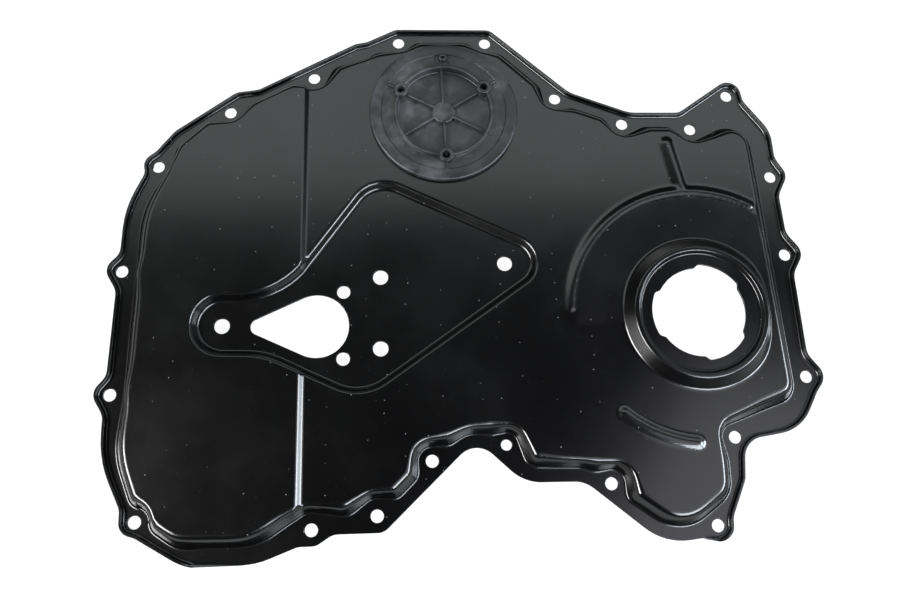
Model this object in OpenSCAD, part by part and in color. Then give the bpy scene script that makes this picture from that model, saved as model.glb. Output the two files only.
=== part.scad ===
// Pressed steel timing cover with a round access plug and its seal ring.
// The crank axis is the Z axis, the engine face of the flange is z = 0 and the outer side looks up.

/* [Sheet] */
// Thickness of the pressed sheet
sheet_t = 1.5; // [1:0.1:2]
// Height of the pan above the engine face, on the crank side
pan_h = 10.5; // [8:0.5:14]
// Extra height of the pan on the far side of the step
step_h = 2; // [1:0.5:4]
// Place of the step along X
step_x = -224; // [-235:1:-215]
// Length of the slope of the step
step_run = 4; // [3:0.5:8]
// Width of the drawn wall between flange and pan, seen from above
wall_run = 7.5; // [5:0.5:8]
// Share of that run where the wall bends in round a bolt
ear_share = 0.75; // [0.6:0.05:1]
// Height of the turned-up edge of the flange above the engine face
lip_h = 4.5; // [3:0.5:7]
// Corners of the box along the lower side where the turned-up edge runs out
lip_gap = [[-281, -145], [3, -59]];

/* [Bolts] */
// Radius of the bolt holes
bolt_r = 3.5; // [2.5:0.1:4.5]
// Radius of the one narrow bolt hole
narrow_r = 3; // [2:0.1:3.5]
// Number of the narrow hole in the list of bolts
narrow_bolt = 15; // [0:1:21]
// Places of the bolts
bolts = [
  [-169.5, 176.5], [-116, 176.5], [-221, 152], [33.5, 140.5], [-74, 138.5], [-270.5, 129],
  [-33.5, 121.5], [8.5, 118], [-311, 94], [55, 86.5], [58, 37], [-327.5, 30],
  [61.5, -36], [-329, -40.5], [16.5, -69.5], [-112, -71.5], [-153, -79.5], [-55, -93.5],
  [-183, -108], [-311, -108.5], [2, -117], [-218, -114.5]
];

/* [Recess] */
// Depth of the recess below the pan, on the crank side
recess_d = 4; // [2:0.5:5]
// Width of the wall of the recess, seen from above
recess_run = 5; // [3:0.5:6]
// Radius of the four stud holes
stud_r = 4.3; // [3:0.1:5]
// Places of the four stud holes
studs = [[-268.8, -3.7], [-180.8, 23.8], [-180.8, -17.6], [-109.6, 31.4]];
// Radius of the two holes beside the drop-shaped opening
pin_r = 3.75; // [3:0.05:4.5]
// Places of the two holes beside the opening
pins = [[-201.6, 15.3], [-201.6, -23.1]];
// Centre of the round end of the opening
drop_at = [-216.5, -4.3];
// Radius of the round end of the opening
drop_r = 18; // [14:0.5:19]
// Distance from the round end to the narrow end
drop_reach = 32; // [26:0.5:36]
// Radius of the narrow end
drop_tip_r = 4.6; // [3:0.1:7]

/* [Crank collar] */
// Radius of the foot of the collar on the pan
collar_r = 43.5; // [42:0.5:43.5]
// Radius of the crest of the collar
crest_r = 37; // [36.5:0.1:38.5]
// Height of the crest above the pan
crest_h = 5.5; // [4:0.5:8]
// Radius of the flat seat
seat_r = 33; // [31:0.5:34]
// Height of the seat above the pan
seat_h = 3; // [2:0.5:4]
// Radius of the opening
opening_r = 25.6; // [22:0.2:27]
// Radius of the three wide parts of the opening
notch_r = 27.8; // [27:0.1:30]
// Angle of each wide part
notch_angle = 58; // [40:1:70]
// Angle of the first wide part
notch_start = 62; // [50:1:75]

/* [Beads] */
// Radius of the line of the two bent beads about the crank axis
bead_line_r = 73.5; // [70:0.5:76]
// Half the width of a bead
bead_w = 4.5; // [3.5:0.25:6]
// Height of a bead
bead_h = 2; // [1.5:0.25:3.5]
// Ends of the long bead as angles
long_bead = [61, 177];
// Ends of the short bead as angles
short_bead = [230, 264];
// Outer end of the straight bead
straight_bead = [-10, 105];

/* [Plug] */
// Centre of the access hole
plug_at = [-143, 124.4];
// Radius of the access hole
access_r = 37; // [36.5:0.5:39]
// Reach of the plug flange past the edge of the access hole
plug_over = 7; // [6:0.25:8]
// Thickness of the plug flange
plug_t = 3; // [2.5:0.25:4]
// Radius of the sunk middle
dish_r = 27.5; // [25:0.5:29]
// Depth of the sunk middle below the top of the flange
dish_d = 4; // [3:0.5:5]
// Thickness of the floor of the sunk middle
dish_t = 2; // [1.5:0.25:3]
// Thickness of the ring rib
ring_w = 2; // [1.5:0.25:3]
// Height of the ring rib over the flange
ring_h = 1; // [0.5:0.25:2]
// Thickness of a rib
rib_w = 1.6; // [1:0.1:2.5]
// Radius of the hub
hub_r = 6.8; // [5:0.2:9]
// Radius of a screw boss
boss_r = 4.4; // [3.5:0.1:5]
// Radius of the blind hole in a boss
boss_hole_r = 2.2; // [1.5:0.1:2.8]
// Turn of the three bosses
boss_turn = 32; // [20:1:40]
// Width of the shallow channel round the ring rib
channel_w = 7.5; // [4:0.5:8.5]
// Depth of the shallow channel
channel_d = 0.8; // [0.4:0.1:1.2]
// Radius of the small pip near the edge
pip_r = 2.6; // [2:0.1:3.5]
// Gap between the plug and the sheet
plug_gap = 0.3; // [0.2:0.05:0.5]
// Reach of the three lugs under the sheet
lug_reach = 2.5; // [1.5:0.25:3]
// Thickness of a lug
lug_t = 2.5; // [2:0.25:4]
// Angle that one lug takes
lug_angle = 40; // [25:1:50]
// Width of the groove for the seal ring
seal_w = 2.4; // [1.6:0.1:2.8]
// Gap between the seal ring and each side of its groove
seal_gap = 0.1; // [0.05:0.05:0.3]
// Depth of the seal groove in the flange of the plug
groove_d = 1.5; // [1:0.1:1.8]

/* [Finish] */
// Largest turn between two points of an outline
arc_step = 20; // [15:1:30]

/* [Hidden] */
$fn = 72;
floor_h = pan_h - recess_d;
steps = [0, 0.18, 0.5, 0.82, 1];
step_steps = [0, 0.25, 0.5, 0.75, 1];
step_lines = [for (u = step_steps) step_x + (u - 0.5) * step_run];
eps = 0.02;
big = 400;
plug_top = pan_h + plug_gap + plug_t;
ring_r = dish_r + ring_w;
plug_r = access_r + plug_over;
channel_r = ring_r + channel_w;
groove_r = access_r + (plug_over - seal_w) / 2;

// Rounds of an outline as [x, y, radius], anticlockwise. A minus radius is a hollow round.
function ear(i, r) = [bolts[i].x, bolts[i].y, r];

// Outer edge of the flange
flange_rounds = [
  ear(1, 7.6), ear(0, 7.6), [-192, 185, -10], [-192.5, 164.5, 10],
  [-257, 152.5, -10], [-263, 131.5, 10], [-288, 101, 20], [-316.5, 107.5, -6.5],
  ear(8, 7.5), [-326, 90, -8], [-266, 53, 62], [-337, 43.5, -8.7],
  ear(11, 7.5), [-339, 15.5, -9.8], [-339.5, -27, -9], ear(13, 7.7),
  [-341, -55, -10], [-271, -62, 60], [-327.5, -104, -9], ear(19, 7.4),
  [-313, -124, -8], [-277.5, -106.5, 25], [-254.5, -91.5, 40], [-223.5, -131, -8],
  ear(21, 8.4), [-203.5, -127, -10], ear(18, 8.8), [-128.5, -85.5, -12.7],
  [-93, -67, 25], [-75.5, -109, -17], [-18, -92, 32.5], [-7, -133.5, -10],
  ear(20, 7.7), [20, -115, -10.2], [6.5, -89.5, 12.5], [32, -82, -12.2],
  [37.5, -43, 25.4], [72, -49.5, -8], ear(12, 8.5), [72.5, -19.5, -10.3],
  [71, 22, -10.3], ear(10, 8.4), [69, 53.5, -10.3], [68, 71.5, -10.3],
  ear(9, 8.2), [68.5, 101, -10.8], [35.5, 108, 22], [50, 139, -8],
  ear(3, 8), [-1, 136, -8], [-25.5, 148, -20], [-55, 159, -20]
];

// Foot of the drawn wall, which runs round the seat of every bolt
pan_rounds = [
  [41, -39.5, 13], [30.5, 104, 15], ear(7, -7.5), [-7.5, 111.2, 9],
  [-18.5, 111.2, 9], ear(6, -7.2), [-50, 118.2, 9], [-64.5, 123.5, 9],
  ear(4, -6.8), [-90.5, 142, 9], [-110, 160.5, 9], ear(1, -6.6),
  [-130.5, 168, 9], [-155.5, 168, 9], ear(0, -6.6), [-180, 160.5, 9.5],
  [-195.5, 173.2, -10], [-203, 152, 9], ear(2, -7.2), [-231.5, 138.3, 9.5],
  [-250.5, 150.5, -12], [-253.8, 127, 9], ear(5, -6.8), [-279.5, 114, 9.5],
  [-293.3, 101.5, 9], ear(8, -6.5), [-260.5, 51.5, 59], ear(11, -7.8),
  [-298.5, -5, 22.5], ear(13, -7.5), [-278, -66.5, 46], [-304.8, -92.7, 9.2],
  ear(19, -6.8), [-294, -107.8, 9.2], [-282.5, -104.2, 19.5], [-256.5, -91.5, 32.5],
  ear(21, -8.8), [-202, -96, 13],
  ear(18, -8.5), [-175, -91.5, 9], [-168.5, -85, 9], ear(16, -7),
  [-145.5, -63.5, 9], [-129, -81, -15], [-120, -58, 9], ear(15, -6),
  [-95, -76, 9], [-74, -97.3, -12], [-63, -78.8, 9.2], ear(17, -7),
  [-39, -98, 9.2], [-19, -92.7, 24.5], [-4.5, -92.5, 16], [3, -83, 9.2],
  ear(14, -7)
];

// Upper edge of the recess
recess_rounds = [
  [-106.8, 31.5, 16.5], [-178.5, 60, 21.5], [-261, 59.5, -45],
  [-267.5, -3.7, 18.5], [-254.5, -62.5, -40], [-193.8, -14.1, 29.5]
];

function ease(u) = u * u * (3 - 2 * u);
function within(v) = min(1, max(0, v));
function wrap(t) = t - 360 * floor(t / 360);

// Height of the outer side of the pan at x
function pan_top(x) = pan_h + step_h * (1 - ease(within((x - step_x) / step_run + 0.5)));

// Angle of the outward normal of the line that touches round a and then round b
function touch(a, b) =
  let (dx = b[0] - a[0], dy = b[1] - a[1], far = norm([dx, dy]))
  atan2(dy, dx) - 90 + asin(min(1, max(-1, (a[2] - b[2]) / far)));

// Points of an outline, kept as [x, y, radius, angle] so that it can be set in by any amount
function belt(c) = [
  for (i = [0 : len(c) - 1])
    let (
      q = c[i],
      from = touch(c[(i + len(c) - 1) % len(c)], q),
      to = touch(q, c[(i + 1) % len(c)]),
      turn = q[2] >= 0 ? wrap(to - from) : -wrap(from - to),
      n = max(1, ceil(abs(turn) / arc_step))
    )
    for (k = [0 : n]) [q[0], q[1], q[2], from + turn * k / n]
];

// One point of an outline that is set in by d
function inset_point(p, d) = [p[0] + (p[2] - d) * cos(p[3]), p[1] + (p[2] - d) * sin(p[3])];
function inset(b, d) = [for (p = b) inset_point(p, d)];

// Shares of the way from a to b where the edge crosses a line of the step
function crossings(a, b) =
  let (all = [for (x = step_lines) (x - a[0]) / (b[0] - a[0] == 0 ? 1e-9 : b[0] - a[0])],
       ordered = b[0] > a[0] ? all : [for (i = [len(all) - 1 : -1 : 0]) all[i]])
  [for (t = ordered) if (t > 0.001 && t < 0.999) t];

// An outline as pairs [outer point, inner point], set in less by the share ear on hollow bends,
// with points added where one of the edges meets the step
function paired(b, d, ear, step_on_inner) = [
  for (i = [0 : len(b) - 1])
    let (
      j = (i + 1) % len(b),
      a0 = inset_point(b[i], 0),
      a1 = inset_point(b[i], b[i][2] < 0 ? d * ear : d),
      b0 = inset_point(b[j], 0),
      b1 = inset_point(b[j], b[j][2] < 0 ? d * ear : d)
    )
    for (t = concat([0], step_on_inner ? crossings(a1, b1) : crossings(a0, b0)))
      [a0 + (b0 - a0) * t, a1 + (b1 - a1) * t]
];

// A closed band with one section per pair of points. section(pair) gives points [x, y, z].
module band(sections) {
  n = len(sections);
  m = len(sections[0]);
  points = [for (s = sections) for (p = s) p];
  faces = [
    for (i = [0 : n - 1])
      for (j = [0 : m - 1])
        let (a = i * m, b = ((i + 1) % n) * m, k = (j + 1) % m)
        for (f = [[a + j, a + k, b + j], [b + j, a + k, b + k]]) f
  ];
  polyhedron(points = points, faces = faces, convexity = 10);
}

function mix(p, u) = p[0] + (p[1] - p[0]) * u;

// Section of the drawn wall: up the outer side, then back along the engine side
function wall_section(p) =
  let (
    rise = pan_top(p[1].x) - sheet_t,
    run = norm(p[1] - p[0]),
    lean = [for (u = steps) atan(6 * u * (1 - u) * rise / run)]
  )
  concat(
    [for (u = steps) let (q = mix(p, u)) [q.x, q.y, sheet_t + rise * ease(u)]],
    [for (i = [len(steps) - 1 : -1 : 0])
      let (q = mix(p, min(1, steps[i] + sheet_t * sin(lean[i]) / run)))
      [q.x, q.y, sheet_t + rise * ease(steps[i]) - sheet_t * cos(lean[i])]]
  );

// Section of the wall of the recess
function recess_section(p) =
  let (fall = pan_top(p[0].x) - floor_h)
  concat(
    [for (u = steps) let (q = mix(p, u)) [q.x, q.y, floor_h + fall * (1 - ease(u))]],
    [for (i = [len(steps) - 1 : -1 : 0])
      let (u = steps[i], q = mix(p, u))
      [q.x, q.y, floor_h + fall * (1 - ease(u)) - sheet_t]]
  );

wall_pairs = paired(belt(pan_rounds), wall_run, ear_share, true);
rim_pairs = paired(belt(recess_rounds), recess_run, 1, false);

module flange() {
  difference() {
    linear_extrude(sheet_t) polygon(inset(belt(flange_rounds), 0));
    translate([0, 0, -1]) linear_extrude(sheet_t + 2) polygon([for (p = wall_pairs) p[0]]);
  }
}

// Turned-up edge. It runs out along the lower side.
module lip() {
  edge = belt(flange_rounds);
  difference() {
    linear_extrude(lip_h) polygon(inset(edge, 0));
    translate([0, 0, -1]) linear_extrude(lip_h + 2) polygon(inset(edge, sheet_t));
    translate([lip_gap[0].x, lip_gap[0].y, -1])
      cube([lip_gap[1].x - lip_gap[0].x, lip_gap[1].y - lip_gap[0].y, lip_h + 2]);
  }
}

module step_sheet() {
  top = [for (x = step_lines) [x, pan_top(x)]];
  line = concat([[-big, pan_top(-big)]], top, [[big, pan_top(big)]]);
  under = [for (i = [len(line) - 1 : -1 : 0]) [line[i].x, line[i].y - sheet_t]];
  rotate([90, 0, 0]) translate([0, 0, -big / 2]) linear_extrude(big) polygon(concat(line, under));
}

module pan() {
  difference() {
    intersection() {
      step_sheet();
      linear_extrude(40) polygon([for (p = wall_pairs) p[1]]);
    }
    linear_extrude(40) polygon([for (p = rim_pairs) p[0]]);
    cylinder(r = collar_r, h = 40);
  }
}

module recess_floor() {
  translate([0, 0, floor_h - sheet_t]) linear_extrude(sheet_t) polygon([for (p = rim_pairs) p[1]]);
}

// Raised collar round the crank opening
module collar() {
  rise = [
    [collar_r, 0], [collar_r - 1.4, 0.35], [crest_r + 2.4, crest_h - 0.9], [crest_r + 1.2, crest_h - 0.2],
    [crest_r, crest_h], [crest_r - 1, crest_h - 0.3], [seat_r + 1.4, seat_h + 0.5], [seat_r, seat_h],
    [opening_r - 4, seat_h]
  ];
  under = [for (i = [len(rise) - 1 : -1 : 0]) rise[i] - [0, sheet_t]];
  translate([0, 0, pan_h]) rotate_extrude($fn = 96) polygon(concat(rise, under));
}

module opening() {
  translate([0, 0, pan_h - 5]) {
    cylinder(r = opening_r, h = 20, $fn = 96);
    for (i = [0 : 2])
      rotate(notch_start + 120 * i)
        intersection() {
          cylinder(r = notch_r, h = 20, $fn = 96);
          linear_extrude(20)
            polygon([[0, 0], [50, -50 * tan(notch_angle / 2)], [50, 50 * tan(notch_angle / 2)]]);
        }
  }
}

module drop() {
  lean = asin((drop_r - drop_tip_r) / drop_reach);
  translate([drop_at.x, drop_at.y, 0])
    rotate(180) {
      cylinder(r = drop_r, h = 40);
      translate([drop_reach, 0, 0]) cylinder(r = drop_tip_r, h = 40);
      linear_extrude(40)
        polygon([
          drop_r * [sin(lean), cos(lean)],
          [drop_reach, 0] + drop_tip_r * [sin(lean), cos(lean)],
          [drop_reach, 0] + drop_tip_r * [sin(lean), -cos(lean)],
          drop_r * [sin(lean), -cos(lean)]
        ]);
    }
}

// Share of the full bead that is left at a distance from its tip
function bead_share(e) = e >= bead_w ? 1 : sqrt(1 - pow(1 - e / bead_w, 2));

// Stations of a bead of a length, as [distance, share], close together at the rounded tips
function bead_stations(long) =
  let (n = ceil((long - 2 * bead_w) / 8), tips = [0.1, 0.35, 0.7])
  concat(
    [for (t = tips) [t * bead_w, bead_share(t * bead_w)]],
    [for (k = [0 : n]) [bead_w + (long - 2 * bead_w) * k / n, 1]],
    [for (i = [len(tips) - 1 : -1 : 0]) [long - tips[i] * bead_w, bead_share(tips[i] * bead_w)]]
  );

// A bead as stations [x, y, direction of its width, share]
function bent_bead(ends) =
  let (tip = bead_w * 180 / PI / bead_line_r, long = bead_line_r * PI / 180 * (ends[1] - ends[0]) + 2 * bead_w)
  [for (s = bead_stations(long))
    let (a = ends[0] - tip + s[0] * 180 / PI / bead_line_r)
    [bead_line_r * cos(a), bead_line_r * sin(a), a, s[1]]];

function straight_run() =
  let (
    from = (bead_line_r + 2) * [cos(93), sin(93)],
    way = straight_bead - from,
    long = norm(way),
    a = atan2(way.y, way.x)
  )
  [for (s = bead_stations(long + bead_w))
    [from.x + s[0] * cos(a), from.y + s[0] * sin(a), a - 90, s[1]]];

beads = [bent_bead(long_bead), bent_bead(short_bead), straight_run()];

// Section of a bead: over the top, then back underneath. Its edges are held inside the sheet.
function bead_section(b) =
  let (
    half = [1.1, 0.72, 0.38, 0, -0.38, -0.72, -1.1],
    high = [-0.3, 0.36 * bead_h, 0.84 * bead_h, bead_h, 0.84 * bead_h, 0.36 * bead_h, -0.3],
    low = [-0.9, 0.36 * bead_h - 1.3, 0.84 * bead_h - 1.4, bead_h - sheet_t],
    under = concat(low, [low[2], low[1], low[0]])
  )
  concat(
    [for (i = [0 : 6]) bead_point(b, half[i], high[i] > 0 ? high[i] * b[3] : high[i])],
    [for (i = [6 : -1 : 0]) bead_point(b, half[i] * (abs(half[i]) > 1 ? 1 : 0.86), under[i])]
  );
function bead_point(b, share, z) =
  let (w = share * bead_w * b[3])
  [b[0] + w * cos(b[2]), b[1] + w * sin(b[2]), pan_h + z];

module bead(stations) {
  sections = [for (b = stations) bead_section(b)];
  n = len(sections);
  m = len(sections[0]);
  points = [for (q = sections) for (p = q) p];
  side = [
    for (i = [0 : n - 2])
      for (j = [0 : m - 1])
        let (a = i * m, b = (i + 1) * m, k = (j + 1) % m)
        for (f = [[a + j, a + k, b + j], [b + j, a + k, b + k]]) f
  ];
  ends = [
    for (j = [0 : 5])
      let (k = m - 1 - j, e = (n - 1) * m)
      for (f = [[j, k, j + 1], [j + 1, k, k - 1], [e + j, e + j + 1, e + k], [e + j + 1, e + k - 1, e + k]]) f
  ];
  polyhedron(points = points, faces = concat(side, ends), convexity = 6);
}

// Opening in the flat sheet below a bead. It stops short of the tips.
module bead_gap(stations) {
  w = bead_w - 1.2;
  n = len(stations);
  run = [
    for (i = [0 : n - 1])
      i == 0 ? (stations[0] + stations[1]) / 2 : i == n - 1 ? (stations[n - 2] + stations[n - 1]) / 2 : stations[i]
  ];
  linear_extrude(40)
    polygon(concat(
      [for (b = run) [b[0] + w * b[3] * cos(b[2]), b[1] + w * b[3] * sin(b[2])]],
      [for (i = [n - 1 : -1 : 0])
        let (b = run[i])
        [b[0] - w * b[3] * cos(b[2]), b[1] - w * b[3] * sin(b[2])]]
    ));
}

module bolt_holes() {
  for (i = [0 : len(bolts) - 1])
    translate([bolts[i].x, bolts[i].y, -1])
      cylinder(r = i == narrow_bolt ? narrow_r : bolt_r, h = sheet_t + 2, $fn = 48);
}

// Access hole with three ways in for the lugs of the plug
module access_hole() {
  translate([plug_at.x, plug_at.y, 0]) {
    cylinder(r = access_r, h = 40, $fn = 96);
    for (i = [0 : 2])
      rotate(120 * i + 90)
        intersection() {
          cylinder(r = access_r + lug_reach + 0.6, h = 40, $fn = 96);
          linear_extrude(40)
            polygon([[0, 0], [60, -60 * tan(lug_angle / 2 + 2)], [60, 60 * tan(lug_angle / 2 + 2)]]);
        }
  }
}

// Flat sheet with its beads and the access hole
module drilled_pan() {
  difference() {
    pan();
    for (b = beads) bead_gap(b);
    access_hole();
  }
  for (b = beads) bead(b);
}

module drilled_floor() {
  difference() {
    recess_floor();
    drop();
    for (p = studs) translate([p.x, p.y, 0]) cylinder(r = stud_r, h = 40, $fn = 48);
    for (p = pins) translate([p.x, p.y, 0]) cylinder(r = pin_r, h = 40, $fn = 48);
  }
}

module cover() {
  color([0.05, 0.05, 0.055])
    union() {
      difference() {
        flange();
        bolt_holes();
      }
      lip();
      band([for (p = wall_pairs) wall_section(p)]);
      drilled_pan();
      band([for (p = rim_pairs) recess_section(p)]);
      drilled_floor();
      difference() {
        collar();
        opening();
      }
    }
}

module sector(r, a, h) {
  intersection() {
    cylinder(r = r, h = h, $fn = 96);
    linear_extrude(h) polygon([[0, 0], [2 * r, -2 * r * tan(a / 2)], [2 * r, 2 * r * tan(a / 2)]]);
  }
}

// Outline of the plug as one turned section
module plug_body() {
  skirt = access_r - 0.5;
  low = pan_h - sheet_t - plug_gap - lug_t;
  top = plug_top;
  floor = top - dish_d;
  rotate_extrude($fn = 96)
    polygon([
      [0, floor - dish_t], [ring_r, floor - dish_t], [ring_r, low + 3],
      [skirt - 2.5, low + 3], [skirt - 2.5, low], [skirt, low], [skirt, top - plug_t],
      [groove_r, top - plug_t], [groove_r, top - plug_t + groove_d], [groove_r + seal_w, top - plug_t + groove_d],
      [groove_r + seal_w, top - plug_t], [plug_r, top - plug_t], [plug_r, top - 0.8], [plug_r - 0.8, top],
      [channel_r, top], [channel_r - 0.5, top - channel_d], [ring_r, top - channel_d],
      [ring_r, top + ring_h], [dish_r, top + ring_h], [dish_r, floor], [0, floor]
    ]);
}

module access_plug() {
  floor = plug_top - dish_d;
  low = pan_h - sheet_t - plug_gap - lug_t;
  color([0.12, 0.12, 0.13])
    translate([plug_at.x, plug_at.y, 0])
      difference() {
        union() {
          plug_body();
          translate([0, 0, floor - eps]) cylinder(r = hub_r, h = dish_d - 1 + eps, $fn = 48);
          for (i = [0 : 5])
            rotate(boss_turn + 60 * i)
              translate([hub_r - 1, -rib_w / 2, floor - eps])
                cube([dish_r - hub_r + 1.5, rib_w, dish_d - 0.6 + eps]);
          for (i = [0 : 2])
            rotate(boss_turn + 120 * i) {
              translate([dish_r + ring_w / 2, 0, floor - eps])
                cylinder(r = boss_r, h = dish_d + ring_h + 0.5 + eps, $fn = 48);
              translate([dish_r + ring_w / 2, -rib_w / 2, plug_top - channel_d - eps])
                cube([8.5, rib_w, channel_d + 0.4]);
            }
          rotate(90) translate([access_r - 2, 0, plug_top - channel_d - eps]) cylinder(r = pip_r, h = channel_d + 1, $fn = 36);
          for (i = [0 : 2])
            rotate(120 * i + 150)
              translate([0, 0, low])
                difference() {
                  sector(access_r + lug_reach, lug_angle, lug_t);
                  translate([0, 0, -1]) cylinder(r = access_r - 1.5, h = lug_t + 2, $fn = 96);
                }
        }
        for (i = [0 : 2])
          rotate(boss_turn + 120 * i)
            translate([dish_r + ring_w / 2, 0, floor + 0.5]) cylinder(r = boss_hole_r, h = 10, $fn = 32);
        rotate(90) translate([access_r - 2, 0, plug_top - 1]) cylinder(r = 0.9, h = 4, $fn = 24);
      }
}

module plug_seal() {
  color([0.03, 0.03, 0.03])
    translate([plug_at.x, plug_at.y, pan_h])
      difference() {
        cylinder(r = groove_r + seal_w - seal_gap, h = plug_gap + groove_d, $fn = 96);
        translate([0, 0, -1]) cylinder(r = groove_r + seal_gap, h = plug_gap + groove_d + 2, $fn = 96);
      }
}

cover();
access_plug();
plug_seal();
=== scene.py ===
import math
import bpy
import bmesh
from mathutils import Matrix, Vector


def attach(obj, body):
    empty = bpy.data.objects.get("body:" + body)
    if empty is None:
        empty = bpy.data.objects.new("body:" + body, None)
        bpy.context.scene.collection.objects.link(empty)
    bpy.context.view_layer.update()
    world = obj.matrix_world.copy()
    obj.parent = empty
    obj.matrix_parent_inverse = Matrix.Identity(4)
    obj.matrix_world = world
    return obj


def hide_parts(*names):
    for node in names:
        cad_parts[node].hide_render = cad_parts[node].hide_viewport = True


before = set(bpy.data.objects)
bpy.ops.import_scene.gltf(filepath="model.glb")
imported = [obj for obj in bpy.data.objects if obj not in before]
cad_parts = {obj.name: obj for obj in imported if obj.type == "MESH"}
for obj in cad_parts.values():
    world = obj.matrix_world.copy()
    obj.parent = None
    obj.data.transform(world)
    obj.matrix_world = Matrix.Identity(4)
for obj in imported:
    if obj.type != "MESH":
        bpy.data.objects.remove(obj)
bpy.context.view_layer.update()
mm = 0.001
print("frame loaded")


# camera where the photograph was taken from, in mm over the flange
view = dict(place=(-166.3, -115.6, 481.1), aim=(-141.2, 11.8, 0.0), roll=10.2, lens=34.67, sensor=36.0,
            clip=(0.01, 30.0))


def placeCamera():
    data = bpy.data.cameras.new("camera")
    data.lens = view["lens"]
    data.sensor_width = view["sensor"]
    data.clip_start, data.clip_end = view["clip"]
    camera = bpy.data.objects.new("camera", data)
    bpy.context.collection.objects.link(camera)
    place = Vector(view["place"]) * mm
    towards = Vector(view["aim"]) * mm - place
    turn = towards.to_track_quat("-Z", "Y").to_matrix().to_4x4()
    roll = Matrix.Rotation(math.radians(view["roll"]), 4, "Z")
    camera.matrix_world = Matrix.Translation(place) @ turn @ roll
    bpy.context.scene.camera = camera
    print("camera placed")


def ease(u):
    u = min(1.0, max(0.0, u))
    return u * u * (3.0 - 2.0 * u)


def through(value, span):
    # how far a value has come from the start of a span to its end
    return (value - span[0]) / (span[1] - span[0])


def slopeShare(u, bend):
    # a straight slope from 0 to 1 with a rounded bend at each end
    u = min(1.0, max(0.0, u))
    if u < bend:
        return u * u / (2 * bend * (1 - bend))
    if u > 1 - bend:
        return 1.0 - (1 - u) ** 2 / (2 * bend * (1 - bend))
    return (u - bend / 2) / (1 - bend)


def touch(a, b):
    # angle of the outward normal of the line that touches round a, then round b
    dx, dy = b[0] - a[0], b[1] - a[1]
    lean = max(-1.0, min(1.0, (a[2] - b[2]) / math.hypot(dx, dy)))
    return math.atan2(dy, dx) - math.pi / 2 + math.asin(lean)


def beltOf(rounds, turnStep, gap=0.0):
    # an outline from rounds (x, y, radius), anticlockwise; a minus radius is a hollow round
    # with a gap the straight parts get points as well
    belt = []
    full = 2 * math.pi
    for i, here in enumerate(rounds):
        after = rounds[(i + 1) % len(rounds)]
        start = touch(rounds[i - 1], here)
        end = touch(here, after)
        turn = (end - start) % full if here[2] >= 0 else -((start - end) % full)
        count = max(1, math.ceil(abs(turn) / math.radians(turnStep)))
        belt += [(here[0], here[1], here[2], start + turn * k / count) for k in range(count + 1)]
        if gap:
            way = Vector(after) - Vector(here)
            straight = math.hypot(way.x + way.z * math.cos(end), way.y + way.z * math.sin(end))
            parts = round(straight / gap)
            belt += [(*(Vector(here) + way * k / parts), start + turn) for k in range(1, parts)]
    return belt


def setIn(belt, d, z, ears=1.0):
    # the outline set in by d, at height z; hollow rounds take only a share of d
    points = []
    for x, y, r, a in belt:
        share = 1.0 - (1.0 - ears) * ease(through(r, sheet["earRounds"])) if d > 0 else 1.0
        far = r - d * share
        points.append(Vector((x + far * math.cos(a), y + far * math.sin(a), z)) * mm)
    return points


def filletChain(corners, steps):
    # a line through corners (x, z, radius) with its bends rounded
    line = [Vector(corners[0][:2])]
    for i in range(1, len(corners) - 1):
        here = Vector(corners[i][:2])
        back = (Vector(corners[i - 1][:2]) - here).normalized()
        ahead = (Vector(corners[i + 1][:2]) - here).normalized()
        half = back.angle(ahead) / 2
        reach = corners[i][2] / math.tan(half)
        centre = here + (back + ahead).normalized() * corners[i][2] / math.sin(half)
        a = here + back * reach - centre
        b = here + ahead * reach - centre
        sweep = a.angle_signed(b)
        for k in range(steps + 1):
            line.append(centre + Matrix.Rotation(-sweep * k / steps, 2) @ a)
    line.append(Vector(corners[-1][:2]))
    return line


def newLoop(bm, points):
    verts = [bm.verts.new(p) for p in points]
    for i, v in enumerate(verts):
        bm.edges.new((verts[i - 1], v))
    return verts


def circleLoop(bm, centre, radius, z, segments):
    place = Matrix.Translation(Vector((centre[0], centre[1], z)) * mm)
    return bmesh.ops.create_circle(bm, segments=segments, radius=radius * mm, matrix=place)["verts"]


def loopEdges(bm, loop):
    return [bm.edges.get((loop[i - 1], loop[i])) for i in range(len(loop))]


def extrudeLoop(bm, loop, points):
    made = bmesh.ops.extrude_edge_only(bm, edges=loopEdges(bm, loop))["geom"]
    fresh = {g for g in made if isinstance(g, bmesh.types.BMVert)}
    nextLoop = []
    for v, p in zip(loop, points):
        twin = next(e.other_vert(v) for e in v.link_edges if e.other_vert(v) in fresh)
        twin.co = p
        nextLoop.append(twin)
    return nextLoop


def ringHole(bm, centre, radius, z, segments):
    # a round hole with a narrow flat ring, gives the outer loop of the ring
    hole = circleLoop(bm, centre, radius, z, segments)
    middle = Vector((centre[0], centre[1], z)) * mm
    share = 1.0 + sheet["margin"] / radius
    return extrudeLoop(bm, hole, [middle + (v.co - middle) * share for v in hole])


def fillFlat(bm, loops):
    edges = [e for loop in loops for e in loopEdges(bm, loop)]
    made = bmesh.ops.triangle_fill(bm, use_beauty=True, edges=edges, normal=(0, 0, 1))["geom"]
    return [g for g in made if isinstance(g, bmesh.types.BMFace)]


def toObject(bm, name, material):
    for f in bm.faces:
        f.smooth = True
    mesh = bpy.data.meshes.new(name)
    bm.to_mesh(mesh)
    bm.free()
    piece = bpy.data.objects.new(name, mesh)
    bpy.context.collection.objects.link(piece)
    piece.data.materials.append(material)
    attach(piece, "root")
    return piece


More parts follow.
